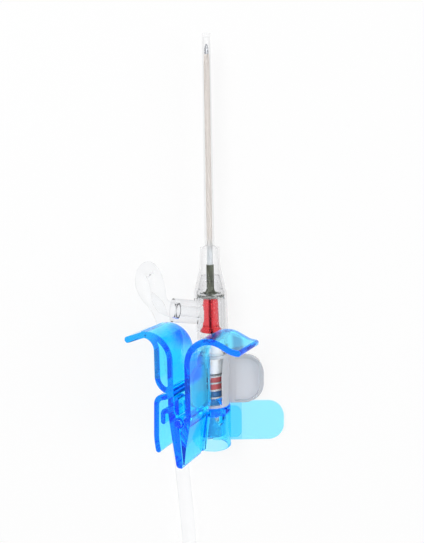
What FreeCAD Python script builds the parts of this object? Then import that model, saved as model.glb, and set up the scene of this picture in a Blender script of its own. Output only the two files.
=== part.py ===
"""Closed infusion needle: a soft catheter on a clear hub, carried by a steel needle with a blue squeeze grip.

Millimetres. +Y runs along the needle to its tip, +X to the flat wing, +Z up from the table that it lies on.
The origin is on the table under the needle, on the saddle's flat pad, level with the middle of its wings.
"""
import FreeCAD, Part
import math
import os

V = FreeCAD.Vector

# Needle axis: parallel to Y, this high above the table
grip_radius = 4.1
axis_height = grip_radius

# General fits, and the small chamfer on turned rims
slide_gap = 0.05
loose_gap = 0.12
press_gap = 0.02
rim_chamfer = 0.2

# Steel needle
cannula_tip_y = 72.4
cannula_rear_y = -1.5
cannula_radius = 0.45
cannula_bore_radius = 0.29
bevel_angle = 16.0

# Soft catheter and the metal wedge that holds it in the nose
catheter_wall = 0.11
catheter_tip_wall = 0.04
catheter_front_setback = 2.2
catheter_taper_length = 2.0
wedge_front_y = 26.5
wedge_flare_y = 21.3
wedge_throat_y = 20.5
wedge_throat_radius = 1.16
wedge_mouth_length = 0.8
wedge_rear_y = 19.25
wedge_wall = 0.2
wedge_flare_radius = 1.75

# Clear hub: nose, grey seal disc, body with its side port, rear skirt
nose_front_y = 24.2
nose_front_radius = 1.95
nose_rear_radius = 2.8
nose_wall = 0.45
nose_front_wall = 1.2
nose_rim_length = 0.3
seal_disc_front_y = 20.3
seal_disc_thickness = 1.1
seal_disc_radius = 3.0
seal_disc_rim = 0.4
seal_disc_land = 0.2
body_radius = 3.05
body_wall = 0.62
skirt_front_y = 7.9
skirt_rear_y = -4.85
skirt_radius = 3.4
skirt_wall = 0.6
skirt_step = 0.5
bore_step = 0.35
needle_passage_radius = 0.8

# Red septum: a near straight plug with a flared skirt
septum_rear_y = 11.8
septum_front_radius = 1.62
septum_waist_radius = 1.76
septum_chamfer = 0.4
septum_flare = 0.15
septum_lip = 0.3
septum_skirt_length = 1.7
hub_wall_length = 1.0

# Side port of the hub: leans up from the table and forward to the tip
port_root_y = 15.8
port_up_angle = 20.0
port_forward_angle = 10.0
port_radius = 2.55
port_bore_radius = 1.1
port_length = 8.8
tube_socket_depth = 1.3

# Clear extension tube, a free cord
tube_radius = 1.6
tube_bore_radius = 0.7

# Grey saddle with its two wings
saddle_wall = 0.45
saddle_front_y = 7.0
saddle_rear_y = -4.7
saddle_pad_half_width = 2.6
pad_window_half_width = 1.5
pad_window_rear_y = 1.2
pad_window_front_y = 6.2
window_rim = 0.6
window_left_x = -0.4
window_right_x = 2.1
window_flare_x = 2.5
window_flare_y = 2.2
lobe_left_x = -2.0
lobe_rear_y = -1.0
lobe_front_y = 4.84
lobe_corner = 1.5
wing_thickness = 1.1
wing_rim_height = 0.7
wing_rim_width = 0.95
wing_rear_rim_width = 0.45
wing_front_rim_width = 0.6
wing_dish_left_x = 5.0
wing_front_y = 5.6
wing_rear_y = -5.2
wing_reach = 11.6
wing_front_corner = 4.0
wing_rear_corner = 4.4
folded_wing_rear_y = -3.2
folded_wing_thickness = 0.85
folded_wing_root_w = -1.1
folded_wing_tip_w = -0.68
folded_wing_height = 11.0

# Needle cover
cover_tip_y = 74.3
cover_tip_radius = 0.85
cover_tip_wall = 0.22
cover_neck_radius = 1.08
cover_step_y = 30.3
cover_collar_radius = 2.05
cover_cone_y = 25.35
cover_cone_radius = 2.3
cover_shoulder_y = 20.5
cover_wall = 0.38
cover_step_length = 0.4
cover_hub_gap = 0.1
cover_rear_y = 11.2
cover_rear_radius = 3.8
port_slot_offset = 0.85

# Needle holder in the hub's skirt: a core with four white flanges and three coloured rings
holder_front_y = 2.7
holder_flange_length = 0.36
holder_core_radius = 1.35
ring_lengths = [1.13, 1.26, 1.37]
holder_front_length = 0.75
holder_core_rear_y = -4.7
holder_funnel_length = 0.6
ring_gap = 0.18
ring_inset = 0.12

# Blue grip: barrel, collar and paddle
grip_front_y = -4.95
grip_rear_y = -14.5
collar_length = 1.65
chamber_radius = 2.0
chamber_rear_y = -11.6
chamber_wall = 0.4
barrel_wall = 0.7
insert_radius = 2.95
spigot_front_y = -3.2
vent_length = 1.2
notch_x = 1.6
notch_width = 2.1
notch_length = 1.9
paddle_front_y = -5.65
paddle_rear_y = -14.8
paddle_reach = 16.3
paddle_thickness = 0.8
paddle_corner = 3.6
paddle_web_reach = 6.6
paddle_web_height = 1.7
paddle_web_inset = 0.9
paddle_web_corner = 1.6

# Blue squeeze clip: two S-shaped plates on the barrel, leaning to the left
clip_lean = 27.0
clip_back = 3.95
clip_front = 13.0
plate_thickness = 1.25
right_plate_w = 1.0
right_bend_radius = 5.4
right_bend_y = 7.8
left_plate_w = -3.0
left_bend_radius = 5.1
left_bend_y = 8.1
tab_overturn = 25.0
right_tab_run = 1.6
right_tab_flip = 27.0
left_tab_run = 3.0
left_tab_turn = 111.0
left_tab_flip = 8.0
tab_flip_radius = 5.2
tab_relief = 0.3
squeeze_angle = 5.0
left_plate_thickness = 1.35
leg_bend_radius = 3.1
leg_bend_centre = (-9.2, 10.0)
leg_foot_radius = 2.7
leg_foot_y = 4.4
leg_end_run = 0.6
lever_back = 4.45
leaf_start_y = 0.75
leaf_heading = 198.0
leaf_start_run = 2.4
leaf_bend_radius = 1.75
leaf_bend_turn = 70.0
leaf_run = 6.6
leaf_curl_radius = 14.0
leaf_curl_turn = 11.0
leaf_end_run = 1.0
leaf_setback = 0.6
hook_y = -2.75
hook_start_run = 1.1
hook_bend_radius = 0.9
hook_end_run = 1.7
hook_thickness = 1.1
hook_depth = 4.0
rib_y = -3.4
rib_length = 3.2
rib_width = 1.5
rib_depth = 3.2
rib_drop = 0.25
rib_setback = 0.35
jaw_gap = 0.07
jaw_shoulder_y = -3.6
right_jaw_tip_width = 0.36
right_jaw_waist = (0.3, -10.6)
right_jaw_inset = 0.2
left_jaw_shoulder_y = -2.4
left_jaw_taper_y = -3.8
left_jaw_tip_w = (-2.1, -1.75, -0.8)
left_jaw_tip_length = 0.95
left_jaw_notch = 0.6
root_half_width = 0.35
root_front_w = 0.05
root_depth = 1.5

# Hinge pin of the clip, and the rounded rib over the folded wing
hinge_w = -1.2
hinge_y = -5.0
pin_radius = 0.5
knuckle_radius = 1.15
knuckle_gap = 0.1
grip_knuckle_depth = 4.2
jaw_tip_y = -14.0
jaw_tip_w = -0.46
pin_head_radius = 0.8
pin_head_length = 0.35

# Connector and cap at the tube's far end
connector_length = 11.5
connector_body_radius = 2.9
connector_flange_radius = 3.75
connector_flange_length = 1.6
connector_socket_radius = 2.1
connector_socket_depth = 7.5
connector_tube_depth = 3.0
connector_band_from = 1.0
connector_band_length = 2.2
connector_band_height = 0.5
cap_radius = 3.7
cap_length = 5.5
cap_ribs = 12
cap_rib_radius = 0.35
cap_rib_inset = 0.6
cap_spigot_length = 5.5

# Route of the extension tube from the side port to its connector, chosen by hand
tube_route = [
    (-6.9406, 17.0238, 6.6652),
    (-9.2542, 17.4318, 7.5202),
    (-10.95, 19.30, 7.95),
    (-11.15, 23.60, 8.25),
    (-13.00, 26.45, 5.05),
    (-14.90, 24.50, 1.60),
    (-14.95, 20.60, 1.60),
    (-10.90, 15.90, 1.60),
    (-10.00, 9.50, 1.60),
    (-9.20, 0.00, 1.60),
    (-7.90, -13.00, 1.60),
    (-6.55, -29.00, 1.60),
    (-5.60, -45.00, 1.60),
    (-6.10, -58.00, 1.60),
    (-7.60, -68.00, 1.60),
    (-12.50, -76.50, 3.80),
    (-21.50, -78.60, 3.80),
]


def on_axis(radius, y):
    """Point of a turned profile: radius from the needle axis, and y along it."""
    return V(0, y, axis_height + radius)


def turned(profile):
    """Solid of revolution about the needle axis from a closed list of (radius, y)."""
    points = [on_axis(radius, y) for radius, y in profile]
    wire = Part.makePolygon(points + [points[0]])
    return Part.Face(wire).revolve(V(0, 0, axis_height), V(0, 1, 0), 360)


def rod(radius, y_from, y_to):
    """Cylinder on the needle axis between two y."""
    return Part.makeCylinder(radius, y_to - y_from, V(0, y_from, axis_height), V(0, 1, 0))


def sleeve(outer, inner, y_from, y_to):
    """Tube on the needle axis between two y."""
    return rod(outer, y_from, y_to).cut(rod(inner, y_from - 1, y_to + 1))


def box(x_from, x_to, y_from, y_to, z_from, z_to):
    """Box between two corners."""
    return Part.makeBox(x_to - x_from, y_to - y_from, z_to - z_from, V(x_from, y_from, z_from))


def in_clip_frame(shape):
    """Move a shape drawn as (w, y, depth) so that depth points out of the barrel along the clip's lean."""
    placed = shape.copy()
    placed.Placement = FreeCAD.Placement(
        V(0, 0, axis_height), FreeCAD.Rotation(V(0, 1, 0), -clip_lean)
    ).multiply(placed.Placement)
    return placed


def ribbon(start, heading, steps, thickness, depth_from, depth_to):
    """Bent strip of constant thickness: steps are ("run", length) or ("bend", radius, angle), left turns positive."""
    half = thickness / 2
    x, y = start
    angle = math.radians(heading)
    left_side, right_side = [], []

    def offset(at_x, at_y, at_angle, distance):
        return V(at_x - distance * math.sin(at_angle), at_y + distance * math.cos(at_angle), depth_from)

    first_left, first_right = offset(x, y, angle, half), offset(x, y, angle, -half)
    last_left, last_right = first_left, first_right
    for step in steps:
        if step[0] == "run":
            x += step[1] * math.cos(angle)
            y += step[1] * math.sin(angle)
            next_left, next_right = offset(x, y, angle, half), offset(x, y, angle, -half)
            left_side.append(Part.LineSegment(last_left, next_left).toShape())
            right_side.append(Part.LineSegment(last_right, next_right).toShape())
        else:
            radius, turn = step[1], math.radians(step[2])
            sign = 1 if turn > 0 else -1
            cx = x - sign * radius * math.sin(angle)
            cy = y + sign * radius * math.cos(angle)
            mid_angle, end_angle = angle + turn / 2, angle + turn
            mid_x, mid_y = cx + sign * radius * math.sin(mid_angle), cy - sign * radius * math.cos(mid_angle)
            x, y = cx + sign * radius * math.sin(end_angle), cy - sign * radius * math.cos(end_angle)
            next_left, next_right = offset(x, y, end_angle, half), offset(x, y, end_angle, -half)
            mid_left, mid_right = offset(mid_x, mid_y, mid_angle, half), offset(mid_x, mid_y, mid_angle, -half)
            left_side.append(Part.Arc(last_left, mid_left, next_left).toShape())
            right_side.append(Part.Arc(last_right, mid_right, next_right).toShape())
            angle = end_angle
        last_left, last_right = next_left, next_right
    start_cap = Part.LineSegment(first_right, first_left).toShape()
    bulge = V(last_left.x + last_right.x, last_left.y + last_right.y, 2 * depth_from) * 0.5
    bulge += V(math.cos(angle), math.sin(angle), 0) * half * 0.8
    end_cap = Part.Arc(last_left, bulge, last_right).toShape()
    edges = [start_cap] + left_side + [end_cap] + right_side
    wire = Part.Wire(Part.__sortEdges__(edges))
    return Part.Face(wire).extrude(V(0, 0, depth_to - depth_from))


def slab(points, depth_from, depth_to):
    """Prism in the clip frame from a list of (w, y)."""
    corners = [V(w, y, depth_from) for w, y in points]
    face = Part.Face(Part.makePolygon(corners + [corners[0]]))
    return face.extrude(V(0, 0, depth_to - depth_from))


def post(w, y, radius, depth_from, depth_to):
    """Round post in the clip frame, along its depth."""
    return Part.makeCylinder(radius, depth_to - depth_from, V(w, y, depth_from), V(0, 0, 1))


def rounded_plate(x_from, x_to, y_from, y_to, z_from, z_to, rear, front):
    """Flat plate with its two outer corners (at x_to) rounded by a rear and a front radius."""
    inset = 1 - math.sqrt(0.5)
    points = [
        Part.LineSegment(V(x_from, y_from, z_from), V(x_to - rear, y_from, z_from)),
        Part.Arc(
            V(x_to - rear, y_from, z_from),
            V(x_to - rear * inset, y_from + rear * inset, z_from),
            V(x_to, y_from + rear, z_from),
        ),
        Part.LineSegment(V(x_to, y_from + rear, z_from), V(x_to, y_to - front, z_from)),
        Part.Arc(
            V(x_to, y_to - front, z_from),
            V(x_to - front * inset, y_to - front * inset, z_from),
            V(x_to - front, y_to, z_from),
        ),
        Part.LineSegment(V(x_to - front, y_to, z_from), V(x_from, y_to, z_from)),
        Part.LineSegment(V(x_from, y_to, z_from), V(x_from, y_from, z_from)),
    ]
    wire = Part.Wire([edge.toShape() for edge in points])
    return Part.Face(wire).extrude(V(0, 0, z_to - z_from))


# Direction and mouth of the side port
up = math.radians(port_up_angle)
forward = math.radians(port_forward_angle)
port_direction = V(-math.cos(up) * math.cos(forward), math.cos(up) * math.sin(forward), math.sin(up))
port_root = V(0, port_root_y, axis_height)


def port_rod(radius, from_root, to_root):
    """Cylinder on the side port's axis between two distances from its root."""
    return Part.makeCylinder(radius, to_root - from_root, port_root + port_direction * from_root, port_direction)


def make_cannula():
    """Steel tube with a slanted bevel at its tip."""
    tube = sleeve(cannula_radius, cannula_bore_radius, cannula_rear_y, cannula_tip_y)
    cutter = box(-2, 2, -12, 12, 0, 4)
    cutter.rotate(V(0, 0, 0), V(1, 0, 0), -bevel_angle)
    cutter.translate(V(0, cannula_tip_y, axis_height - cannula_radius))
    return tube.cut(cutter)


def make_catheter():
    """Soft tube over the needle, drawn in to a thin tip, and flared inside the nose."""
    inner = cannula_radius + slide_gap
    outer = inner + catheter_wall
    front = cannula_tip_y - catheter_front_setback
    return turned([
        (inner, wedge_rear_y),
        (outer, wedge_rear_y),
        (outer, front - catheter_taper_length),
        (inner + catheter_tip_wall, front),
        (inner, front),
    ])


def make_wedge():
    """Metal sleeve that grips the catheter, flared to a funnel at the seal disc."""
    inner = cannula_radius + slide_gap + catheter_wall
    outer = inner + wedge_wall
    return turned([
        (inner, wedge_front_y),
        (outer, wedge_front_y),
        (outer, wedge_flare_y),
        (outer + (wedge_throat_radius - outer) / 3, (wedge_flare_y + wedge_throat_y) / 2),
        (wedge_throat_radius, wedge_throat_y),
        (wedge_flare_radius, wedge_rear_y + wedge_mouth_length),
        (wedge_flare_radius, wedge_rear_y),
        (inner, wedge_rear_y),
    ])


def make_nose():
    """Clear conical nose that carries the wedge and catheter."""
    hole = cannula_radius + slide_gap + catheter_wall + wedge_wall + press_gap
    front_wall_y = nose_front_y - nose_front_wall
    rim_y = seal_disc_front_y + nose_rim_length
    return turned([
        (hole, nose_front_y),
        (nose_front_radius, nose_front_y),
        (nose_rear_radius, rim_y + seal_disc_radius - nose_rear_radius),
        (seal_disc_radius, rim_y),
        (seal_disc_radius, seal_disc_front_y),
        (nose_rear_radius - nose_wall, seal_disc_front_y),
        (nose_front_radius - nose_wall, front_wall_y),
        (hole, front_wall_y),
    ])


def make_seal_disc():
    """Grey disc between nose and body, thinner towards its rim."""
    rear = seal_disc_front_y - seal_disc_thickness
    middle = seal_disc_front_y - seal_disc_thickness / 2
    hole = wedge_flare_radius + press_gap
    return turned([
        (hole, rear),
        (hole + seal_disc_land, rear),
        (seal_disc_radius, middle - seal_disc_rim / 2),
        (seal_disc_radius, middle + seal_disc_rim / 2),
        (hole + seal_disc_land, seal_disc_front_y),
        (hole, seal_disc_front_y),
    ])


def make_hub():
    """Clear moulding: septum chamber, side port, inner wall and the rear skirt with its rims."""
    front = seal_disc_front_y - seal_disc_thickness
    chamber = body_radius - body_wall
    skirt_bore = skirt_radius - skirt_wall
    wall_rear = septum_rear_y - hub_wall_length
    outer = turned([
        (0, front),
        (body_radius, front),
        (body_radius, skirt_front_y + skirt_step),
        (skirt_radius, skirt_front_y),
        (skirt_radius, skirt_rear_y),
        (0, skirt_rear_y),
    ])
    outer = outer.fuse(port_rod(port_radius, 0, port_length))
    hollow = turned([
        (0, front + 1),
        (chamber, front + 1),
        (chamber, septum_rear_y),
        (needle_passage_radius, septum_rear_y),
        (needle_passage_radius, wall_rear),
        (skirt_bore - bore_step, wall_rear),
        (skirt_bore - bore_step, skirt_front_y - skirt_step),
        (skirt_bore, skirt_front_y - skirt_step - bore_step),
        (skirt_bore, skirt_rear_y - 1),
        (0, skirt_rear_y - 1),
    ])
    socket = port_rod(tube_radius + slide_gap, port_length - tube_socket_depth, port_length + 1)
    channel = port_rod(port_bore_radius, chamber - body_wall, port_length)
    return outer.cut(hollow).cut(socket).cut(channel).removeSplitter()


def make_septum():
    """Red rubber septum: a plug with a skirt that seals in the chamber."""
    chamber = body_radius - body_wall
    front = seal_disc_front_y - seal_disc_thickness
    bore = cannula_radius + slide_gap
    skirt = chamber - slide_gap
    return turned([
        (bore, front - press_gap),
        (septum_front_radius - septum_chamfer, front - press_gap),
        (septum_front_radius, front - septum_chamfer),
        (septum_waist_radius, septum_rear_y + septum_skirt_length),
        (septum_waist_radius + septum_flare, septum_rear_y + septum_skirt_length / 2),
        (skirt, septum_rear_y + septum_lip),
        (skirt, septum_rear_y + press_gap),
        (bore, septum_rear_y + press_gap),
    ])


def make_saddle():
    """Grey moulding: windowed sleeve on the skirt, flat pad, right wing spread out, left wing folded up."""
    inner = skirt_radius + press_gap
    outer = inner + saddle_wall
    top = axis_height + 2 * outer
    ring = sleeve(outer, inner, saddle_rear_y, saddle_front_y)
    window_rear, window_front = saddle_rear_y + window_rim, saddle_front_y - window_rim
    corners = [
        V(window_left_x, window_rear, axis_height),
        V(window_right_x, window_rear, axis_height),
        V(window_right_x, window_flare_y, axis_height),
        V(window_flare_x, window_front, axis_height),
        V(window_left_x, window_front, axis_height),
    ]
    window = Part.Face(Part.makePolygon(corners + [corners[0]])).extrude(V(0, 0, top - axis_height))
    lobe = rounded_plate(0, -lobe_left_x, lobe_rear_y, lobe_front_y, axis_height, top, lobe_corner, lobe_corner)
    ring = ring.cut(window).cut(lobe.mirror(V(0, 0, 0), V(1, 0, 0)))
    pad = box(-saddle_pad_half_width, saddle_pad_half_width, saddle_rear_y, saddle_front_y, 0, axis_height / 2)
    wing_base = paddle_thickness + loose_gap
    wing_top = wing_base + wing_thickness
    rim_top = wing_top + wing_rim_height
    wing = rounded_plate(
        0, wing_reach, wing_rear_y, wing_front_y, wing_base, rim_top, wing_rear_corner, wing_front_corner
    )
    dish = rounded_plate(
        wing_dish_left_x,
        wing_reach - wing_rim_width,
        wing_rear_y + wing_rear_rim_width,
        wing_front_y - wing_front_rim_width,
        wing_top,
        rim_top + 1,
        wing_rear_corner - wing_rim_width,
        wing_front_corner - wing_rim_width,
    )
    wing = wing.cut(dish)
    root_depth = inner - loose_gap
    section = [
        V(folded_wing_root_w, folded_wing_rear_y, root_depth),
        V(folded_wing_root_w + folded_wing_thickness, folded_wing_rear_y, root_depth),
        V(folded_wing_tip_w + folded_wing_thickness, folded_wing_rear_y, folded_wing_height),
        V(folded_wing_tip_w, folded_wing_rear_y, folded_wing_height),
    ]
    folded = Part.Face(Part.makePolygon(section + [section[0]])).extrude(V(0, wing_front_y - folded_wing_rear_y, 0))
    folded = round_corners_across(folded)
    solid = ring.fuse([pad, wing, in_clip_frame(folded)]).cut(rod(inner, saddle_rear_y - 1, saddle_front_y + 1))
    solid = solid.cut(rod(grip_radius + loose_gap, wing_rear_y - 1, saddle_rear_y))
    half = pad_window_half_width
    return solid.cut(box(-half, half, pad_window_rear_y, pad_window_front_y, -1, axis_height)).removeSplitter()


def round_corners_across(plate):
    """Round the two outer corners of the folded wing."""
    edges = [
        edge
        for edge in plate.Edges
        if edge.BoundBox.ZMin > folded_wing_height - 0.01
        and edge.BoundBox.XLength > 0.1
        and edge.BoundBox.YLength < 0.01
    ]
    return plate.makeFillet(wing_front_corner, edges)


def make_cover():
    """Clear protective cover: thin snout, collar, cone and a slotted skirt that clears the side port."""
    shoulder_radius = body_radius + cover_hub_gap + cover_wall
    neck_inner = cover_neck_radius - cover_tip_wall
    tip_inside_y = cover_tip_y - cover_tip_wall * 3
    outside = [
        (0, cover_tip_y),
        (cover_tip_radius, cover_tip_y),
        (cover_neck_radius, cover_step_y + cover_step_length),
        (cover_collar_radius, cover_step_y),
        (cover_cone_radius, cover_cone_y),
        (shoulder_radius, cover_shoulder_y),
        (cover_rear_radius, cover_rear_y + rim_chamfer),
        (cover_rear_radius, cover_rear_y),
        (0, cover_rear_y),
    ]
    inside = [
        (0, tip_inside_y),
        (cover_tip_radius - cover_tip_wall, tip_inside_y),
        (neck_inner, cover_step_y + cover_step_length),
        (cover_collar_radius - cover_wall, cover_step_y - cover_step_length),
        (cover_cone_radius - cover_wall, cover_cone_y),
        (shoulder_radius - cover_wall, cover_shoulder_y),
        (cover_rear_radius - cover_wall, cover_rear_y),
        (cover_rear_radius - cover_wall, cover_rear_y - 1),
        (0, cover_rear_y - 1),
    ]
    cover = turned(outside).cut(turned(inside))
    half = port_radius + loose_gap
    slot_x, slot_end = -cover_rear_radius * 2, port_root_y + port_slot_offset
    slot = box(slot_x, 0, cover_rear_y - 1, slot_end, axis_height - half, axis_height + half)
    slot = slot.fuse(Part.makeCylinder(half, -slot_x, V(slot_x, slot_end, axis_height), V(1, 0, 0)))
    slot.rotate(V(0, 0, axis_height), V(0, 1, 0), port_up_angle)
    return cover.cut(slot).removeSplitter()


def holder_stations():
    """Places of the holder's four flanges and of the three rings between them, from the front back."""
    flanges, rings = [], []
    y = holder_front_y - holder_front_length
    flanges.append((y, y + holder_flange_length))
    for length in ring_lengths:
        rings.append((y - length, y))
        y -= length
        flanges.append((y - holder_flange_length, y))
        y -= holder_flange_length
    return flanges, rings


def make_holder():
    """Clear needle holder: core round the needle, flanges in the skirt, and the chamber inside the barrel."""
    flanges, rings = holder_stations()
    flange_radius = skirt_radius - skirt_wall - ring_gap
    bore = cannula_radius + press_gap
    body = sleeve(holder_core_radius, bore, holder_core_rear_y, holder_front_y)
    for y_from, y_to in flanges:
        body = body.fuse(sleeve(flange_radius, bore, y_from, y_to))
    funnel_y = holder_core_rear_y - holder_funnel_length
    chamber = turned([
        (bore, holder_core_rear_y + chamber_wall),
        (holder_core_radius, holder_core_rear_y + chamber_wall),
        (chamber_radius, funnel_y),
        (chamber_radius, chamber_rear_y),
        (chamber_radius - chamber_wall, chamber_rear_y),
        (chamber_radius - chamber_wall, funnel_y - chamber_wall),
        (bore, holder_core_rear_y - chamber_wall / 2),
    ])
    return body.fuse(chamber).removeSplitter()


def make_ring(index):
    """One coloured ring between two flanges of the holder."""
    y_from, y_to = holder_stations()[1][index]
    outer = skirt_radius - skirt_wall - ring_gap - ring_inset
    return sleeve(outer, holder_core_radius, y_from, y_to)


def make_vent():
    """White porous plug in the rear of the chamber."""
    return rod(chamber_radius - chamber_wall, chamber_rear_y, chamber_rear_y + vent_length)


def make_grip():
    """Blue moulding: double-walled barrel with collar and spigot, paddle, and the right plate of the clip."""
    spigot_outer = skirt_radius - skirt_wall - ring_gap
    barrel_bore = grip_radius - barrel_wall
    barrel = turned([
        (0, spigot_front_y),
        (spigot_outer, spigot_front_y),
        (spigot_outer, grip_front_y),
        (grip_radius - rim_chamfer, grip_front_y),
        (grip_radius, grip_front_y - rim_chamfer),
        (grip_radius, grip_rear_y + rim_chamfer),
        (grip_radius - rim_chamfer, grip_rear_y),
        (0, grip_rear_y),
    ])
    web = rounded_plate(
        0,
        paddle_web_reach,
        paddle_rear_y + paddle_web_inset,
        paddle_front_y - paddle_web_inset,
        0,
        paddle_web_height,
        paddle_web_corner,
        paddle_web_corner,
    )
    paddle = rounded_plate(
        0, paddle_reach, paddle_rear_y, paddle_front_y, 0, paddle_thickness, paddle_corner, paddle_corner
    )
    plate = ribbon(
        (right_plate_w, jaw_shoulder_y - slide_gap),
        90,
        [
            ("run", right_bend_y - jaw_shoulder_y + slide_gap),
            ("bend", right_bend_radius, -90 - tab_overturn),
            ("run", right_tab_run),
            ("bend", tab_flip_radius, right_tab_flip),
        ],
        plate_thickness,
        clip_back,
        clip_front,
    )
    edge_w = right_plate_w + plate_thickness / 2
    jaw = slab(
        [
            (edge_w, jaw_shoulder_y),
            (right_plate_w - plate_thickness / 2, jaw_shoulder_y),
            (hinge_w + jaw_gap, hinge_y),
            (jaw_tip_w + jaw_gap, jaw_tip_y),
            (jaw_tip_w + right_jaw_tip_width, jaw_tip_y),
            right_jaw_waist,
            (edge_w - right_jaw_inset, hinge_y),
        ],
        lever_back,
        clip_front,
    )
    root_front, root_rear = grip_front_y - loose_gap, grip_rear_y + root_half_width * 2
    root = slab(
        [(root_front_w, root_front), (edge_w, root_front), (root_half_width, root_rear), (-root_half_width, root_rear)],
        barrel_bore,
        clip_back + root_depth,
    )
    middle = (lever_back + clip_front) / 2
    knuckle = post(
        hinge_w, hinge_y, knuckle_radius, middle - grip_knuckle_depth / 2, middle + grip_knuckle_depth / 2
    )
    clearance = post(hinge_w, hinge_y, knuckle_radius + knuckle_gap, clip_back - 1, middle - grip_knuckle_depth / 2)
    clearance = clearance.fuse(
        post(hinge_w, hinge_y, knuckle_radius + knuckle_gap, middle + grip_knuckle_depth / 2, clip_front + 1)
    )
    bore = post(hinge_w, hinge_y, pin_radius, clip_back - 1, clip_front + 1)
    clip = plate.fuse([jaw, root]).cut(clearance).fuse(knuckle).cut(bore)
    solid = barrel.fuse([web, paddle, in_clip_frame(clip)])
    chamber = rod(chamber_radius + slide_gap, grip_rear_y - 1, spigot_front_y + 1)
    behind = rod(barrel_bore, grip_rear_y - 1, chamber_rear_y)
    between = sleeve(barrel_bore, insert_radius, grip_rear_y - 1, grip_front_y - collar_length)
    half = notch_width / 2
    notch_y = grip_front_y - collar_length - notch_length + half
    notch_low, notch_high = axis_height + insert_radius / 2, axis_height + grip_radius + 1
    notch = Part.makeCylinder(half, notch_high - notch_low, V(notch_x, notch_y, notch_low), V(0, 0, 1))
    notch = notch.fuse(
        box(notch_x - half, notch_x + half, notch_y, grip_front_y - collar_length, notch_low, notch_high)
    )
    return solid.cut(chamber).cut(behind).cut(between).cut(notch).removeSplitter()


def make_lever():
    """Blue moulding: left plate with its flared tab, spring arch, jaw, leaf, hook, rib and hinge knuckles."""
    depth_from, depth_to = lever_back, clip_front
    main = ribbon(
        (left_plate_w, left_jaw_shoulder_y - slide_gap),
        90,
        [
            ("run", left_bend_y - left_jaw_shoulder_y + slide_gap),
            ("bend", left_bend_radius, left_tab_turn),
            ("run", left_tab_run),
            ("bend", tab_flip_radius, -left_tab_flip),
        ],
        left_plate_thickness,
        clip_back,
        depth_to,
    )
    leg = ribbon(
        (leg_bend_centre[0] - leg_end_run, leg_bend_centre[1] + leg_bend_radius),
        0,
        [
            ("run", leg_end_run),
            ("bend", leg_bend_radius, -90),
            ("run", leg_bend_centre[1] - leg_foot_y),
            ("bend", leg_foot_radius, 90),
            ("run", leg_end_run),
        ],
        left_plate_thickness,
        clip_back,
        depth_to,
    )
    leaf = ribbon(
        (left_plate_w, leaf_start_y),
        leaf_heading,
        [
            ("run", leaf_start_run),
            ("bend", leaf_bend_radius, leaf_bend_turn),
            ("run", leaf_run),
            ("bend", leaf_curl_radius, leaf_curl_turn),
            ("run", leaf_end_run),
        ],
        plate_thickness,
        depth_from + leaf_setback,
        depth_to,
    )
    hook = ribbon(
        (left_plate_w, hook_y),
        180,
        [("run", hook_start_run), ("bend", hook_bend_radius, 90), ("run", hook_end_run)],
        hook_thickness,
        depth_to - hook_depth,
        depth_to,
    )
    inner_w = left_plate_w + left_plate_thickness / 2 - slide_gap
    outer_w = left_plate_w - left_plate_thickness / 2
    tip_end = jaw_tip_y - left_jaw_tip_length
    jaw = slab(
        [
            (inner_w, left_jaw_shoulder_y),
            (outer_w, left_jaw_shoulder_y),
            (outer_w, left_jaw_taper_y),
            (left_jaw_tip_w[0], (jaw_tip_y + tip_end) / 2),
            (left_jaw_tip_w[1], tip_end),
            (left_jaw_tip_w[2], tip_end),
            (jaw_tip_w - jaw_gap, jaw_tip_y),
            (hinge_w - jaw_gap, hinge_y),
            (hinge_w - left_jaw_notch, hinge_y + left_jaw_notch * 1.5),
        ],
        depth_from,
        depth_to,
    )
    rib = ribbon(
        (inner_w + rib_setback, rib_y),
        90,
        [("run", rib_length)],
        rib_width,
        depth_to - rib_depth,
        depth_to - rib_drop,
    )
    middle = (lever_back + clip_front) / 2
    reach = grip_knuckle_depth / 2 + knuckle_gap
    knuckles = post(hinge_w, hinge_y, knuckle_radius, depth_from, middle - reach).fuse(
        post(hinge_w, hinge_y, knuckle_radius, middle + reach, depth_to)
    )
    clearance = post(hinge_w, hinge_y, knuckle_radius + knuckle_gap, middle - reach, middle + reach)
    bore = post(hinge_w, hinge_y, pin_radius + slide_gap, depth_from - 1, depth_to + 1)
    solid = main.fuse([leg, leaf, hook, jaw, rib]).cut(clearance).fuse(knuckles).cut(bore)
    lever = in_clip_frame(solid.removeSplitter())
    lean = math.radians(clip_lean)
    hinge = V(hinge_w * math.cos(lean), hinge_y, axis_height + hinge_w * math.sin(lean))
    for share in (0, 0.5, 1):
        room = make_cord(tube_radius + tab_relief)[0]
        room.rotate(hinge, V(math.sin(lean), 0, -math.cos(lean)), -squeeze_angle * share)
        lever = lever.cut(room)
    return lever


def make_pin():
    """Blue hinge pin with a low round head at the front."""
    pin = post(hinge_w, hinge_y, pin_radius, lever_back, clip_front + knuckle_gap)
    head = post(hinge_w, hinge_y, pin_head_radius, clip_front + knuckle_gap, clip_front + knuckle_gap + pin_head_length)
    return in_clip_frame(pin.fuse(head).removeSplitter())


def route_path(route):
    """Straight runs joined by tangent arcs, as one wire, with the radii of its bends."""
    points = [V(*p) for p in route]
    edges, radii = [], []
    last = points[0]
    for before, corner, after in zip(points, points[1:], points[2:]):
        back, ahead = before - corner, after - corner
        shorter = min(back.Length, ahead.Length)
        back.normalize()
        ahead.normalize()
        turn = math.pi - back.getAngle(ahead)
        reach = 0.45 * shorter
        radius = reach / math.tan(turn / 2)
        start, end = corner + back * reach, corner + ahead * reach
        inward = back + ahead
        inward.normalize()
        centre_distance = radius / math.cos(turn / 2)
        middle = corner + inward * (centre_distance - radius)
        edges.append(Part.LineSegment(last, start).toShape())
        edges.append(Part.Arc(start, middle, end).toShape())
        radii.append(radius)
        last = end
    edges.append(Part.LineSegment(last, points[-1]).toShape())
    return Part.Wire(edges), radii


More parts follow.
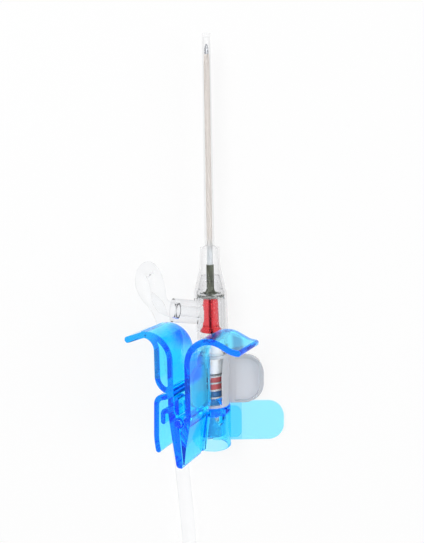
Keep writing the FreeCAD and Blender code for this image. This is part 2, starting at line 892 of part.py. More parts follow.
def make_cord(radius):
    """Plain round cord along the tube's route, with its length and the radii of its bends."""
    path, radii = route_path(tube_route)
    first = V(*tube_route[1]) - V(*tube_route[0])
    section = Part.Wire([Part.makeCircle(radius, V(*tube_route[0]), first)])
    return path.makePipeShell([section], True, True, 0), path.Length, radii


def along_end(from_end, to_end, radius):
    """Cylinder on the connector's axis between two distances from the tube's end."""
    end, before = V(*tube_route[-1]), V(*tube_route[-2])
    axis = end - before
    axis.normalize()
    return Part.makeCylinder(radius, to_end - from_end, end + axis * from_end, axis)


def make_connector():
    """Clear female connector: body on the tube, flange and a socket for the cap."""
    body = along_end(-connector_tube_depth, connector_length, connector_body_radius)
    flange = along_end(connector_length - connector_flange_length, connector_length, connector_flange_radius)
    band_end = connector_band_from + connector_band_length
    band = along_end(connector_band_from, band_end, connector_body_radius + connector_band_height)
    socket = along_end(connector_length - connector_socket_depth, connector_length + 1, connector_socket_radius)
    seat = along_end(-connector_tube_depth - 1, 0, tube_radius + slide_gap)
    bore = along_end(-connector_tube_depth, connector_length, tube_bore_radius)
    return body.fuse([flange, band]).cut(socket).cut(seat).cut(bore).removeSplitter()


def make_cap():
    """White push-on cap with a spigot for the socket and grip ribs."""
    start = connector_length + slide_gap
    cap = along_end(start, start + cap_length, cap_radius - cap_rib_radius / 2)
    spigot = along_end(start - cap_spigot_length, start + cap_rib_inset, connector_socket_radius - slide_gap)
    end, before = V(*tube_route[-1]), V(*tube_route[-2])
    axis = end - before
    axis.normalize()
    side = axis.cross(V(0, 0, 1))
    side.normalize()
    lift = side.cross(axis)
    ribs = []
    for index in range(cap_ribs):
        turn = 2 * math.pi * index / cap_ribs
        offset = (side * math.cos(turn) + lift * math.sin(turn)) * (cap_radius - cap_rib_radius)
        base = end + axis * (start + cap_rib_inset) + offset
        ribs.append(Part.makeCylinder(cap_rib_radius, cap_length - 2 * cap_rib_inset, base, axis))
    return cap.fuse([spigot] + ribs).removeSplitter()


tube, tube_length, bend_radii = make_cord(tube_radius)

parts = {
    "needle_cannula": make_cannula(),
    "catheter_tube": make_catheter(),
    "catheter_wedge": make_wedge(),
    "hub_nose": make_nose(),
    "seal_disc": make_seal_disc(),
    "catheter_hub": make_hub(),
    "septum": make_septum(),
    "wing_saddle": make_saddle(),
    "needle_cover": make_cover(),
    "needle_holder": make_holder(),
    "front_ring": make_ring(0),
    "middle_ring": make_ring(1),
    "rear_ring": make_ring(2),
    "vent_plug": make_vent(),
    "grip_body": make_grip(),
    "clip_lever": make_lever(),
    "hinge_pin": make_pin(),
    "extension_tube": tube,
    "tube_connector": make_connector(),
    "connector_cap": make_cap(),
}

os.makedirs("parts", exist_ok=True)
for name, shape in parts.items():
    shape.exportStep(f"parts/{name}.step")
    bounds = shape.BoundBox
    print(
        f"{name:16s} solids {len(shape.Solids)} valid {shape.isValid()} volume {shape.Volume:9.2f}"
        f"  x {bounds.XMin:.2f}..{bounds.XMax:.2f} y {bounds.YMin:.2f}..{bounds.YMax:.2f}"
        f" z {bounds.ZMin:.2f}..{bounds.ZMax:.2f}"
    )
print("tube length", round(tube_length, 2), "bend radii", [round(radius, 2) for radius in bend_radii])
print("tube volume against section times length", round(tube.Volume / (math.pi * tube_radius**2 * tube_length), 4))
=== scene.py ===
import math

import bmesh
import bpy
from mathutils import Matrix, Vector


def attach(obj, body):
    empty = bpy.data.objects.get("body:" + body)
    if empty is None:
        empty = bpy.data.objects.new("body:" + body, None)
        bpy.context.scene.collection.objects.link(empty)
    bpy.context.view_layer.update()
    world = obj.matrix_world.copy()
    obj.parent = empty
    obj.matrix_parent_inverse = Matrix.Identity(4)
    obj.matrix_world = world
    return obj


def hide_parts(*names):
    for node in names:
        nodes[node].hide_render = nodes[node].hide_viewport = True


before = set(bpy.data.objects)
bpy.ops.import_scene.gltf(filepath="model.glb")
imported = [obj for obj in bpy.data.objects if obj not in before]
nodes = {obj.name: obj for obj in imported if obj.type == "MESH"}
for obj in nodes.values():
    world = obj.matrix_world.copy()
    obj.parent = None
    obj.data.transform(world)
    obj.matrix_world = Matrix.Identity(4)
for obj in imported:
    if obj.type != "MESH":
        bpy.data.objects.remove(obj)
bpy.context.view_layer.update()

# Table and room: a matte white table in a white room. The eye sees both white. Gloss and clear plastic
# see them a little greyer far out and near the horizon, so that clear plastic shows its rims.
table_half = 2.0
table_drop = 0.00005
table_white = (0.85, 0.85, 0.85, 1)
table_glow = 0.85
fade_from, fade_to = 0.1, 0.5
near_white = 1.0
far_grey = 0.8
horizon, white_height = 0.0, 0.7
room_white = (1, 1, 1, 1)
room_light = 0.6


def new_material(name):
    """An empty node material, its nodes and its output."""
    material = bpy.data.materials.new(name)
    material.use_nodes = True
    material.node_tree.nodes.clear()
    output = material.node_tree.nodes.new("ShaderNodeOutputMaterial")
    return material, material.node_tree, output


def finish(piece, material):
    """Give a piece its material."""
    piece.data.materials.clear()
    piece.data.materials.append(material)


def work_out(tree, operation, first, second=0):
    """Math node of two values, each a number or another node's output."""
    node = tree.nodes.new("ShaderNodeMath")
    node.operation = operation
    for socket, value in zip(node.inputs, (first, second)):
        if isinstance(value, bpy.types.NodeSocket):
            tree.links.new(value, socket)
        else:
            socket.default_value = value
    return node.outputs[0]


def work_out_vector(tree, operation, vector, other=(0, 0, 0)):
    """Vector math node of a node's vector and a fixed one: a number for a length or a dot product."""
    node = tree.nodes.new("ShaderNodeVectorMath")
    node.operation = operation
    node.inputs[1].default_value = other
    tree.links.new(vector, node.inputs[0])
    if operation in ("LENGTH", "DOT_PRODUCT"):
        return node.outputs["Value"]
    return node.outputs["Vector"]


def seen_directly(tree):
    """Two masks: rays straight from the eye, and those together with rays from gloss and through glass."""
    path = tree.nodes.new("ShaderNodeLightPath")
    from_eye = path.outputs["Is Camera Ray"]
    glass = work_out(tree, "MAXIMUM", path.outputs["Is Glossy Ray"], path.outputs["Is Transmission Ray"])
    return from_eye, work_out(tree, "MAXIMUM", from_eye, glass)


def fade(tree, value, low, high, at_low, at_high):
    """A value that turns evenly from one number into another between two limits."""
    node = tree.nodes.new("ShaderNodeMapRange")
    node.inputs["From Min"].default_value = low
    node.inputs["From Max"].default_value = high
    node.inputs["To Min"].default_value = at_low
    node.inputs["To Max"].default_value = at_high
    tree.links.new(value, node.inputs["Value"])
    return node.outputs["Result"]


table_mesh = bpy.data.meshes.new("table")
shell = bmesh.new()
bmesh.ops.create_grid(shell, x_segments=1, y_segments=1, size=table_half)
bmesh.ops.translate(shell, verts=shell.verts, vec=(0, 0, -table_drop))
shell.to_mesh(table_mesh)
shell.free()
table = bpy.data.objects.new("table", table_mesh)
bpy.context.collection.objects.link(table)

table_finish, tree, output = new_material("white table")
place = tree.nodes.new("ShaderNodeTexCoord")
distance = work_out_vector(tree, "LENGTH", place.outputs["Object"])
whiteness = fade(tree, distance, fade_from, fade_to, near_white, far_grey)
from_eye, direct = seen_directly(tree)
glow = tree.nodes.new("ShaderNodeEmission")
tree.links.new(work_out(tree, "MAXIMUM", whiteness, from_eye), glow.inputs["Strength"])
matte = tree.nodes.new("ShaderNodeBsdfDiffuse")
matte.inputs["Color"].default_value = table_white
blend = tree.nodes.new("ShaderNodeMixShader")
tree.links.new(work_out(tree, "MULTIPLY", direct, table_glow), blend.inputs["Fac"])
tree.links.new(matte.outputs["BSDF"], blend.inputs[1])
tree.links.new(glow.outputs["Emission"], blend.inputs[2])
tree.links.new(blend.outputs["Shader"], output.inputs["Surface"])
finish(table, table_finish)

room = bpy.data.worlds.new("white room")
bpy.context.scene.world = room
room.use_nodes = True
tree = room.node_tree
tree.nodes.clear()
output = tree.nodes.new("ShaderNodeOutputWorld")
place = tree.nodes.new("ShaderNodeTexCoord")
split = tree.nodes.new("ShaderNodeSeparateXYZ")
tree.links.new(place.outputs["Generated"], split.inputs["Vector"])
whiteness = fade(tree, split.outputs["Z"], horizon, white_height, far_grey, near_white)
from_eye, direct = seen_directly(tree)
sky = tree.nodes.new("ShaderNodeBackground")
sky.inputs["Color"].default_value = room_white
tree.links.new(work_out(tree, "MAXIMUM", whiteness, from_eye), sky.inputs["Strength"])
ambient = tree.nodes.new("ShaderNodeBackground")
ambient.inputs["Color"].default_value = room_white
ambient.inputs["Strength"].default_value = room_light
blend = tree.nodes.new("ShaderNodeMixShader")
tree.links.new(direct, blend.inputs["Fac"])
tree.links.new(ambient.outputs["Background"], blend.inputs[1])
tree.links.new(sky.outputs["Background"], blend.inputs[2])
tree.links.new(blend.outputs["Shader"], output.inputs["Surface"])

# Lamps: two soft square ones, a stronger one from the front left and a weaker one from the right.
# They look at the middle of the hub.
lamp_aim = (0, 0.02, 0)


def area_lamp(name, place, size, power):
    """A square soft lamp."""
    lamp = bpy.data.lights.new(name, "AREA")
    lamp.size = size
    lamp.energy = power
    fixture = bpy.data.objects.new(name, lamp)
    fixture.location = place
    fixture.rotation_euler = (Vector(lamp_aim) - Vector(place)).to_track_quat("-Z", "Y").to_euler()
    bpy.context.collection.objects.link(fixture)


area_lamp("key lamp", place=(-0.25, 0.25, 0.45), size=0.3, power=1.6)
area_lamp("side lamp", place=(0.45, -0.05, 0.25), size=0.25, power=0.8)

bpy.context.scene.view_settings.view_transform = "Standard"

# Camera: almost straight down, tipped a little towards the needle's rear, from about 15 cm. The focal length
# is in pixels of the picture's height.
photo_height = 543
focal_pixels = 700
sensor_size = 36
near_clip = 0.005
camera_aim = Vector((0.00041, 0.025, 0.0041))
camera_distance = 0.1512
camera_tip = math.radians(9.5)
camera_roll = math.radians(-0.95)

eye = bpy.data.cameras.new("camera")
eye.sensor_width = sensor_size
eye.lens = focal_pixels / photo_height * sensor_size
eye.clip_start = near_clip
camera = bpy.data.objects.new("camera", eye)
bpy.context.collection.objects.link(camera)
bpy.context.scene.camera = camera
level_right = Vector((1, 0, 0))
level_up = Vector((0, math.cos(camera_tip), -math.sin(camera_tip)))
back = Vector((0, math.sin(camera_tip), math.cos(camera_tip)))
right = math.cos(camera_roll) * level_right + math.sin(camera_roll) * level_up
up = -math.sin(camera_roll) * level_right + math.cos(camera_roll) * level_up
turned = Matrix((right, up, back)).transposed().to_4x4()
camera.matrix_world = Matrix.Translation(camera_aim + back * camera_distance) @ turned

# Extension tube: soft clear tubing, pushed into the side port. It makes a small standing loop, passes under
# the clip's left tab and lies along the table to its connector. The route is in millimetres.
mm_per_metre = 1000
tube_route = [
    (-6.9406, 17.0238, 6.6652),
    (-9.2542, 17.4318, 7.5202),
    (-10.95, 19.30, 7.95),
    (-11.15, 23.60, 8.25),
    (-13.00, 26.45, 5.05),
    (-14.90, 24.50, 1.60),
    (-14.95, 20.60, 1.60),
    (-10.90, 15.90, 1.60),
    (-10.00, 9.50, 1.60),
    (-9.20, 0.00, 1.60),
    (-7.90, -13.00, 1.60),
    (-6.55, -29.00, 1.60),
    (-5.60, -45.00, 1.60),
    (-6.10, -58.00, 1.60),
    (-7.60, -68.00, 1.60),
    (-12.50, -76.50, 3.80),
    (-21.50, -78.60, 3.80),
]
tube_radius = 0.0016
tubing_clear = (0.99, 0.992, 0.995)
tubing_rim_shade = (0.85, 0.86, 0.875)

tube_line = bpy.data.curves.new("clear_extension_tube", "CURVE")
tube_line.dimensions = "3D"
tube_line.resolution_u = 12
tube_line.bevel_depth = 1.0
tube_line.bevel_resolution = 8
tube_line.use_fill_caps = True
run = tube_line.splines.new("NURBS")
run.points.add(len(tube_route) - 1)
for point, corner in zip(run.points, tube_route):
    point.co = (*[value / mm_per_metre for value in corner], 1)
    point.radius = tube_radius
run.order_u = 3
run.use_endpoint_u = True
extension_tube = bpy.data.objects.new("clear_extension_tube", tube_line)
bpy.context.collection.objects.link(extension_tube)
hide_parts("extension_tube")
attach(extension_tube, "catheter_set")

# Surface effect that all moulded parts share: faint unevenness of gloss and a very shallow ripple.
cloud_detail = 4
cloud_low, cloud_high = 0.3, 0.7
moulded = bpy.data.node_groups.new("moulded surface", "ShaderNodeTree")
for name in ("Scale", "Gloss Low", "Gloss High"):
    moulded.interface.new_socket(name, in_out="INPUT", socket_type="NodeSocketFloat")
for name in ("Roughness", "Height"):
    moulded.interface.new_socket(name, in_out="OUTPUT", socket_type="NodeSocketFloat")
inside = moulded.nodes.new("NodeGroupInput")
outside = moulded.nodes.new("NodeGroupOutput")
place = moulded.nodes.new("ShaderNodeTexCoord")
cloud = moulded.nodes.new("ShaderNodeTexNoise")
cloud.inputs["Detail"].default_value = cloud_detail
moulded.links.new(place.outputs["Object"], cloud.inputs["Vector"])
moulded.links.new(inside.outputs["Scale"], cloud.inputs["Scale"])
spread = moulded.nodes.new("ShaderNodeMapRange")
spread.inputs["From Min"].default_value = cloud_low
spread.inputs["From Max"].default_value = cloud_high
moulded.links.new(cloud.outputs["Fac"], spread.inputs["Value"])
moulded.links.new(inside.outputs["Gloss Low"], spread.inputs["To Min"])
moulded.links.new(inside.outputs["Gloss High"], spread.inputs["To Max"])
moulded.links.new(spread.outputs["Result"], outside.inputs["Roughness"])
moulded.links.new(cloud.outputs["Fac"], outside.inputs["Height"])


def effect_on(tree, surface, scale, gloss, bump_height):
    """Put the moulded surface effect on a material's roughness and normal."""
    effect = tree.nodes.new("ShaderNodeGroup")
    effect.node_tree = moulded
    effect.inputs["Scale"].default_value = scale
    effect.inputs["Gloss Low"].default_value = gloss[0]
    effect.inputs["Gloss High"].default_value = gloss[1]
    bump = tree.nodes.new("ShaderNodeBump")
    bump.inputs["Distance"].default_value = bump_height
    tree.links.new(effect.outputs["Roughness"], surface.inputs["Roughness"])
    tree.links.new(effect.outputs["Height"], bump.inputs["Height"])
    tree.links.new(bump.outputs["Normal"], surface.inputs["Normal"])


def clear_plastic(name, tint, scale, gloss, bump_height, ior, absorbs, density):
    """See-through plastic: glassy surface, with its colour deepening through its thickness."""
    material, tree, output = new_material(name)
    surface = tree.nodes.new("ShaderNodeBsdfPrincipled")
    surface.inputs["Base Color"].default_value = (*tint, 1)
    surface.inputs["IOR"].default_value = ior
    surface.inputs["Transmission Weight"].default_value = 1.0
    effect_on(tree, surface, scale, gloss, bump_height)
    depth = tree.nodes.new("ShaderNodeVolumeAbsorption")
    depth.inputs["Color"].default_value = (*absorbs, 1)
    depth.inputs["Density"].default_value = density
    tree.links.new(surface.outputs["BSDF"], output.inputs["Surface"])
    tree.links.new(depth.outputs["Volume"], output.inputs["Volume"])
    return material, tree, surface


def paint_rim_shade(tree, surface, clear, rim, blend):
    """Painted shade: grey a clear plastic's colour where its wall is seen edge-on."""
    edge_on = tree.nodes.new("ShaderNodeLayerWeight")
    edge_on.inputs["Blend"].default_value = blend
    mix = tree.nodes.new("ShaderNodeMix")
    mix.data_type = "RGBA"
    mix.inputs["A"].default_value = (*clear, 1)
    mix.inputs["B"].default_value = (*rim, 1)
    tree.links.new(edge_on.outputs["Facing"], mix.inputs["Factor"])
    tree.links.new(mix.outputs["Result"], surface.inputs["Base Color"])


tubing, tree, surface = clear_plastic(
    "clear tubing",
    tint=tubing_clear,
    scale=300,
    gloss=(0.02, 0.08),
    bump_height=0.000004,
    ior=1.03,
    absorbs=(0.8, 0.82, 0.84),
    density=20,
)
# Painted shade: the tube's colour greys where its wall is seen edge-on.
paint_rim_shade(tree, surface, tubing_clear, tubing_rim_shade, blend=0.2)
finish(extension_tube, tubing)

# Connector and cap at the tube's far end: a hard clear socket, glued on the tube, and a ribbed white cap
# that is pushed on it.
hard_clear, _, _ = clear_plastic(
    "clear hard plastic",
    tint=(0.97, 0.98, 0.985),
    scale=250,
    gloss=(0.02, 0.06),
    bump_height=0.000004,
    ior=1.42,
    absorbs=(0.72, 0.75, 0.8),
    density=45,
)
finish(nodes["tube_connector"], hard_clear)


def solid_finish(name, colour, scale, gloss, bump_height, metallic=0.0, transmission=0.0):
    """Opaque or part see-through finish with the moulded surface effect."""
    material, tree, output = new_material(name)
    surface = tree.nodes.new("ShaderNodeBsdfPrincipled")
    surface.inputs["Base Color"].default_value = (*colour, 1)
    surface.inputs["Metallic"].default_value = metallic
    surface.inputs["Transmission Weight"].default_value = transmission
    effect_on(tree, surface, scale, gloss, bump_height)
    tree.links.new(surface.outputs["BSDF"], output.inputs["Surface"])
    return material, tree, surface


cap_white, _, _ = solid_finish(
    "white cap plastic", colour=(0.88, 0.88, 0.87), scale=900, gloss=(0.35, 0.5), bump_height=0.00001
)
finish(nodes["connector_cap"], cap_white)

# Steel needle: a thin drawn tube with a ground bevel, glued in the holder. Its steel has fine unevenness
# from drawing.
steel, _, _ = solid_finish(
    "drawn steel",
    colour=(0.42, 0.43, 0.45),
    scale=2500,
    gloss=(0.2, 0.35),
    bump_height=0.000004,
    metallic=1.0,
)
finish(nodes["needle_cannula"], steel)

# Soft catheter on the needle, a milky tube that looks cooler near the nose, and the metal wedge that
# holds it there.
catheter_warm = (0.6, 0.555, 0.52)
catheter_cool = (0.53, 0.56, 0.585)
cool_from, cool_to = 0.0335, 0.0285


def object_place(tree):
    """A point's place on the object, as a vector and as its X, Y and Z, and the way the surface faces."""
    place = tree.nodes.new("ShaderNodeTexCoord")
    split = tree.nodes.new("ShaderNodeSeparateXYZ")
    tree.links.new(place.outputs["Object"], split.inputs["Vector"])
    return place.outputs["Object"], split.outputs, place.outputs["Normal"]


def ramp(tree, value, low, high):
    """0 up to the first limit, 1 from the second on, smooth between; it falls where the first is higher."""
    node = tree.nodes.new("ShaderNodeMapRange")
    node.interpolation_type = "SMOOTHSTEP"
    node.inputs["From Min"].default_value = low
    node.inputs["From Max"].default_value = high
    tree.links.new(value, node.inputs["Value"])
    return node.outputs["Result"]


def coloured(tree, colour, mask, new_colour):
    """A colour that turns into another where the mask is 1."""
    mix = tree.nodes.new("ShaderNodeMix")
    mix.data_type = "RGBA"
    if isinstance(colour, bpy.types.NodeSocket):
        tree.links.new(colour, mix.inputs["A"])
    else:
        mix.inputs["A"].default_value = (*colour, 1)
    mix.inputs["B"].default_value = (*new_colour, 1)
    tree.links.new(mask, mix.inputs["Factor"])
    return mix.outputs["Result"]


catheter_white, tree, surface = solid_finish(
    "soft catheter",
    colour=catheter_warm,
    scale=1200,
    gloss=(0.3, 0.45),
    bump_height=0.000002,
    transmission=0.1,
)
_, axes, _ = object_place(tree)
near_nose = ramp(tree, axes["Y"], cool_from, cool_to)
tree.links.new(coloured(tree, catheter_warm, near_nose, catheter_cool), surface.inputs["Base Color"])
finish(nodes["catheter_tube"], catheter_white)
wedge_metal, _, _ = solid_finish(
    "wedge metal",
    colour=(0.085, 0.095, 0.068),
    scale=1500,
    gloss=(0.4, 0.55),
    bump_height=0.000003,
    metallic=0.3,
)
finish(nodes["catheter_wedge"], wedge_metal)

# Clear hub and nose, with the grey seal disc between them and the red septum inside. The shoulder in the
# port's mouth, where the tube ends, gathers no light; that shade is painted into the hub's colour as a dark
# ring.
hub_clear_colour = (0.99, 0.992, 0.995)
hub_rim_shade = (0.2, 0.19, 0.2)
painted_ring_shade = (0.03, 0.03, 0.035)
barrel_height = 0.0041
port_root = (0, 0.0158, barrel_height)
port_up, port_forward = math.radians(20), math.radians(10)
port_line = (
    -math.cos(port_up) * math.cos(port_forward),
    math.cos(port_up) * math.sin(port_forward),
    math.sin(port_up),
)
socket_floor = 0.0075
ring_reach = 0.0001
ring_inside, ring_outside = 0.0013, 0.0017


def all_of(tree, *masks):
    """1 where every mask is 1."""
    result = masks[0]
    for mask in masks[1:]:
        result = work_out(tree, "MULTIPLY", result, mask)
    return result


hub_clear, tree, surface = clear_plastic(
    "clear hub plastic",
    tint=hub_clear_colour,
    scale=350,
    gloss=(0.01, 0.05),
    bump_height=0.000003,
    ior=1.07,
    absorbs=(0.72, 0.75, 0.8),
    density=40,
)
# Painted shade: the hub's colour greys darkly where its wall is seen edge-on.
paint_rim_shade(tree, surface, hub_clear_colour, hub_rim_shade, blend=0.11)
place, _, _ = object_place(tree)
from_port = work_out_vector(tree, "SUBTRACT", place, port_root)
port_reach = work_out_vector(tree, "LENGTH", from_port)
port_depth = work_out_vector(tree, "DOT_PRODUCT", from_port, port_line)
from_mouth = work_out(tree, "ABSOLUTE", work_out(tree, "SUBTRACT", port_depth, socket_floor))
squares = [work_out(tree, "MULTIPLY", value, value) for value in (port_reach, port_depth)]
port_radius = work_out(tree, "SQRT", work_out(tree, "SUBTRACT", *squares))
# Painted shade: a dark ring on the shoulder in the port's mouth.
on_ring_shade = all_of(
    tree,
    work_out(tree, "LESS_THAN", from_mouth, ring_reach),
    work_out(tree, "GREATER_THAN", port_radius, ring_inside),
    work_out(tree, "LESS_THAN", port_radius, ring_outside),
)
rim_shaded_colour = surface.inputs["Base Color"].links[0].from_socket
tree.links.new(coloured(tree, rim_shaded_colour, on_ring_shade, painted_ring_shade), surface.inputs["Base Color"])
finish(nodes["hub_nose"], hub_clear)
finish(nodes["catheter_hub"], hub_clear)
seal_grey, _, _ = solid_finish(
    "grey seal",
    colour=(0.5, 0.51, 0.49),
    scale=900,
    gloss=(0.15, 0.3),
    bump_height=0.000004,
    transmission=0.6,
)
finish(nodes["seal_disc"], seal_grey)
septum_red, _, _ = clear_plastic(
    "red septum rubber",
    tint=(1.0, 0.4, 0.44),
    scale=900,
    gloss=(0.2, 0.35),
    bump_height=0.000005,
    ior=1.15,
    absorbs=(0.96, 0.1, 0.12),
    density=450,
)
finish(nodes["septum"], septum_red)

# Grey saddle: soft part-clear plastic, moulded with one wing spread and one that folds up. The folded wing
# is thin, with light through it from both sides; its paler look is painted light in its colour. The flat
# wing's raised rim looks darker.
saddle_colour = (0.78, 0.79, 0.84)
folded_wing_painted_light = (0.93, 0.97, 1.0)
folded_wing_x = -0.0012
folded_wing_low, folded_wing_high = 0.0068, 0.0078
rim_colour = (0.62, 0.64, 0.68)
rim_low, rim_high = 0.00212, 0.00258
wing_root = 0.0052
saddle_grey, tree, surface = solid_finish(
    "grey saddle plastic",
    colour=saddle_colour,
    scale=500,
    gloss=(0.12, 0.2),
    bump_height=0.000002,
    transmission=0.45,
)
_, axes, _ = object_place(tree)
on_lit_folded_wing = all_of(
    tree,
    ramp(tree, axes["Z"], folded_wing_low, folded_wing_high),
    work_out(tree, "LESS_THAN", axes["X"], folded_wing_x),
)
on_rim = all_of(
    tree,
    ramp(tree, axes["Z"], rim_low, rim_high),
    work_out(tree, "GREATER_THAN", axes["X"], wing_root),
)
# Painted light: the folded wing is paler, for light through it.
colour = coloured(tree, saddle_colour, on_lit_folded_wing, folded_wing_painted_light)
colour = coloured(tree, colour, on_rim, rim_colour)
tree.links.new(colour, surface.inputs["Base Color"])
finish(nodes["wing_saddle"], saddle_grey)

# Needle cover: a thin clear sheath, pushed over the hub's nose, with a slot that lets the side port pass.
# Its walls show only as faint grey rims, painted shade in its colour.
cover_clear_colour = (0.992, 0.993, 0.995)
cover_rim_shade = (0.6, 0.6, 0.61)
cover_clear, tree, surface = clear_plastic(
    "clear cover plastic",
    tint=cover_clear_colour,
    scale=250,
    gloss=(0.02, 0.07),
    bump_height=0.000003,
    ior=1.06,
    absorbs=(0.75, 0.76, 0.78),
    density=30,
)
paint_rim_shade(tree, surface, cover_clear_colour, cover_rim_shade, blend=0.15)
finish(nodes["needle_cover"], cover_clear)

# Needle holder: a milky core with pale flanges, with two red rings and a teal one slipped on it, and a
# porous white plug that lets air out of the chamber behind.
holder_white, _, _ = solid_finish(
    "milky holder plastic",
    colour=(0.95, 0.95, 0.95),
    scale=1500,
    gloss=(0.2, 0.3),
    bump_height=0.000002,
    transmission=0.3,
)
finish(nodes["needle_holder"], holder_white)
ring_red, _, _ = solid_finish(
    "red ring plastic", colour=(0.62, 0.115, 0.12), scale=1500, gloss=(0.3, 0.4), bump_height=0.000004
)
finish(nodes["front_ring"], ring_red)
finish(nodes["middle_ring"], ring_red)
ring_teal, _, _ = solid_finish(
    "teal ring plastic", colour=(0.04, 0.17, 0.4), scale=1500, gloss=(0.3, 0.4), bump_height=0.000004
)
finish(nodes["rear_ring"], ring_teal)
plug_white, _, _ = solid_finish(
    "porous white plug",
    colour=(0.9, 0.9, 0.9),
    scale=4000,
    gloss=(0.7, 0.9),
    bump_height=0.00005,
    transmission=0.6,
)
finish(nodes["vent_plug"], plug_white)

# White nose of the holder: a turned plug round the needle, of hard white plastic, that fills the hub's bore
# in front of the rings. Its profile is given as radius and place along the needle.
nose_bore = 0.00047
nose_profile = [
    (nose_bore, 0.00278),
    (0.00262, 0.00278),
    (0.00262, 0.0067),
    (0.0023, 0.0072),
    (0.0023, 0.0102),
    (0.0021, 0.0104),
    (nose_bore, 0.0104),
]
nose_steps = 64
nose_painted_glow = 0.08
merge_distance = 0.000001
shell = bmesh.new()
corners = [shell.verts.new((radius, y, barrel_height)) for radius, y in nose_profile]
sides = [shell.edges.new(pair) for pair in zip(corners, corners[1:] + corners[:1])]
bmesh.ops.spin(
    shell,
    geom=corners + sides,
    cent=(0, 0, barrel_height),
    axis=(0, 1, 0),
    angle=2 * math.pi,
    steps=nose_steps,
    use_merge=True,
)
bmesh.ops.remove_doubles(shell, verts=shell.verts, dist=merge_distance)
bmesh.ops.recalc_face_normals(shell, faces=shell.faces)
nose_mesh = bpy.data.meshes.new("holder_nose")
shell.to_mesh(nose_mesh)
shell.free()
holder_nose = bpy.data.objects.new("holder_nose", nose_mesh)
bpy.context.collection.objects.link(holder_nose)
nose_white, _, surface = solid_finish(
    "white nose plastic", colour=(0.93, 0.935, 0.94), scale=1500, gloss=(0.2, 0.3), bump_height=0.000002
)
# Painted light: a faint white glow in the nose, which is no lamp.
surface.inputs["Emission Color"].default_value = (1, 1, 1, 1)
surface.inputs["Emission Strength"].default_value = nose_painted_glow
finish(holder_nose, nose_white)
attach(holder_nose, "needle_unit")

# Blue grip and squeeze clip: clear blue plastic, moulded in one colour. The light that runs inside its
# plates, which makes the clip's front edges and the barrel's collar look deep blue, is painted: a deeper
# blue in the colour and a weak painted glow, faint all over the plastic. The paddle's web is a deeper blue
# in its colour. The
# plates lean to the left: depth is measured up them and side across them, from the barrel's axis.
clip_lean = math.radians(27)
clip_front = (-math.sin(clip_lean), 0, math.cos(clip_lean))
clip_side = (math.cos(clip_lean), 0, math.sin(clip_lean))
barrel_axis = (0, 0, barrel_height)
barrel_radius = 0.0042
across_barrel = (1, 0, 1)
right_plate_side = 0.0005
lever_side = -0.0010

# Places where the blue looks deeper or paler, each given by the limits of its ramps: a patch of painted
# light on the right plate, where the folded wing is behind it, and one on the spring arch, the right plate's
# rear half, the left tab, a painted shade on the right tab over the saddle, the front edges with their
# painted deep blue, the barrel's collar, the web and the paddle.
patch_depth = (0.0062, 0.0092)
patch_rear, patch_front = (0.0030, 0.0044), (0.0105, 0.0080)
arch_depth = (0.0100, 0.0050)
arch_rear = (0.0070, 0.0115)
arch_left = (-0.0120, -0.0060)
arch_share = 0.85
rear_half = (-0.0046, -0.0058)
rear_depth = 0.0045
tab_rear = 0.004
tab_left = (-0.0098, -0.0122)
tab_face_left = (-0.0086, -0.0108)
shade_left, shade_right = (0.0038, 0.0046), (0.0068, 0.0058)
shade_low = 0.013
edge_facing = (0.9, 0.98)
edge_low = 0.009
lever_rear = (0.0015, -0.0010)
collar_rear, collar_front = -0.0066, -0.0048
web_top = 0.00175
paddle_root, paddle_top = 0.0067, 0.00085

# Tints of those places, and the painted glow that stands for light the plastic gathers, faint all over and
# stronger in some of them.
blue_face = (0.95, 0.98, 1.0)
blue_painted_deep = (0.16, 0.24, 1.0)
blue_rear = (0.75, 0.8, 1.0)
blue_tab = (0.7, 0.97, 1.0)
blue_painted_shade = (0.46, 0.5, 0.64)
blue_edge = (0.4, 0.55, 1.0)
blue_rear_edge = (0.28, 0.32, 1.0)
blue_tab_edge = (0.8, 0.97, 1.0)
blue_collar = (0.45, 0.62, 1.0)
blue_web = (0.62, 0.87, 1.0)
blue_paddle = (0.83, 0.965, 1.0)
face_painted_glow = (0.0, 0.008, 0.05)
deep_painted_glow = (0.0, 0.02, 0.3)
edge_painted_glow = (0.0, 0.02, 0.3)
tab_edge_painted_glow = (0.02, 0.09, 0.05)

blue_plastic, tree, surface = clear_plastic(
    "clear blue plastic",
    tint=blue_face,
    scale=250,
    gloss=(0.04, 0.1),
    bump_height=0.000003,
    ior=1.3,
    absorbs=(0.02, 0.905, 0.999),
    density=1000,
)
place, axes, facing = object_place(tree)
from_axis = work_out_vector(tree, "SUBTRACT", place, barrel_axis)
radius = work_out_vector(tree, "LENGTH", work_out_vector(tree, "MULTIPLY", from_axis, across_barrel))
depth = work_out_vector(tree, "DOT_PRODUCT", from_axis, clip_front)
side = work_out_vector(tree, "DOT_PRODUCT", from_axis, clip_side)
on_right_plate = work_out(tree, "GREATER_THAN", side, right_plate_side)
on_lever = work_out(tree, "LESS_THAN", side, lever_side)
on_front = work_out(tree, "GREATER_THAN", axes["Y"], tab_rear)
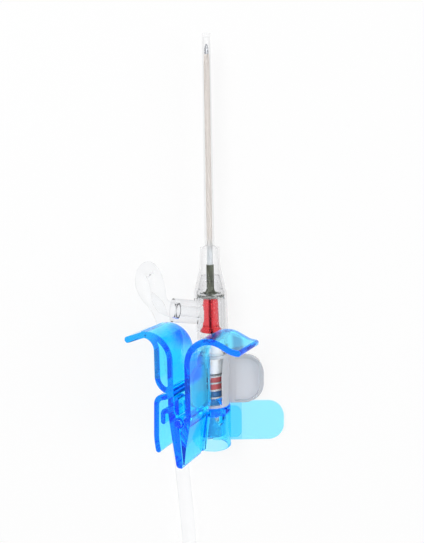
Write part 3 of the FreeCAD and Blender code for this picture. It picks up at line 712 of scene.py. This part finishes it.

# Painted light: a deep blue patch on the right plate and one on the spring arch.
on_patch = all_of(
    tree,
    ramp(tree, depth, *patch_depth),
    ramp(tree, axes["Y"], *patch_rear),
    ramp(tree, axes["Y"], *patch_front),
    on_right_plate,
)
on_arch = all_of(
    tree,
    arch_share,
    ramp(tree, depth, *arch_depth),
    ramp(tree, axes["Y"], *arch_rear),
    ramp(tree, axes["X"], *arch_left),
    on_lever,
)
on_painted_deep = work_out(tree, "MAXIMUM", on_patch, on_arch)
on_rear = all_of(
    tree,
    ramp(tree, axes["Y"], *rear_half),
    on_right_plate,
    work_out(tree, "GREATER_THAN", depth, rear_depth),
)
on_tab = all_of(tree, ramp(tree, axes["X"], *tab_left), on_front)
on_tab_face = all_of(tree, ramp(tree, axes["X"], *tab_face_left), on_front)
# Painted shade: a grey band on the right tab, where the saddle is behind it.
on_painted_shade = all_of(
    tree,
    ramp(tree, axes["X"], *shade_left),
    ramp(tree, axes["X"], *shade_right),
    work_out(tree, "GREATER_THAN", axes["Z"], shade_low),
    on_front,
)
# Painted light: the front edges' deep blue, a tint in the colour.
on_edge = all_of(
    tree,
    ramp(tree, work_out_vector(tree, "DOT_PRODUCT", facing, clip_front), *edge_facing),
    work_out(tree, "GREATER_THAN", axes["Z"], edge_low),
)
on_rear_edge = all_of(tree, on_edge, ramp(tree, axes["Y"], *lever_rear), on_lever)
on_tab_edge = all_of(tree, on_edge, on_tab)
on_collar = all_of(
    tree,
    work_out(tree, "LESS_THAN", radius, barrel_radius),
    work_out(tree, "GREATER_THAN", axes["Y"], collar_rear),
    work_out(tree, "LESS_THAN", axes["Y"], collar_front),
)
on_web = all_of(
    tree,
    work_out(tree, "GREATER_THAN", axes["X"], barrel_radius),
    work_out(tree, "LESS_THAN", axes["Z"], web_top),
)
on_paddle = all_of(
    tree,
    work_out(tree, "GREATER_THAN", axes["X"], paddle_root),
    work_out(tree, "LESS_THAN", axes["Z"], paddle_top),
)

colour = blue_face
for mask, place_colour in (
    (on_painted_deep, blue_painted_deep),
    (on_rear, blue_rear),
    (on_tab_face, blue_tab),
    (on_painted_shade, blue_painted_shade),
    (on_edge, blue_edge),
    (on_rear_edge, blue_rear_edge),
    (on_tab_edge, blue_tab_edge),
    (on_collar, blue_collar),
    (on_web, blue_web),
    (on_paddle, blue_paddle),
):
    colour = coloured(tree, colour, mask, place_colour)
tree.links.new(colour, surface.inputs["Base Color"])
# Painted light: a glow all over the blue plastic, stronger on the deep patches, the front edges, the collar
# and the tab edges.
painted_glow = face_painted_glow
for mask, light in (
    (on_painted_deep, deep_painted_glow),
    (work_out(tree, "MAXIMUM", on_edge, on_collar), edge_painted_glow),
    (on_tab, face_painted_glow),
    (on_tab_edge, tab_edge_painted_glow),
):
    painted_glow = coloured(tree, painted_glow, mask, light)
tree.links.new(painted_glow, surface.inputs["Emission Color"])
surface.inputs["Emission Strength"].default_value = 1.0
finish(nodes["grip_body"], blue_plastic)
finish(nodes["clip_lever"], blue_plastic)
finish(nodes["hinge_pin"], blue_plastic)
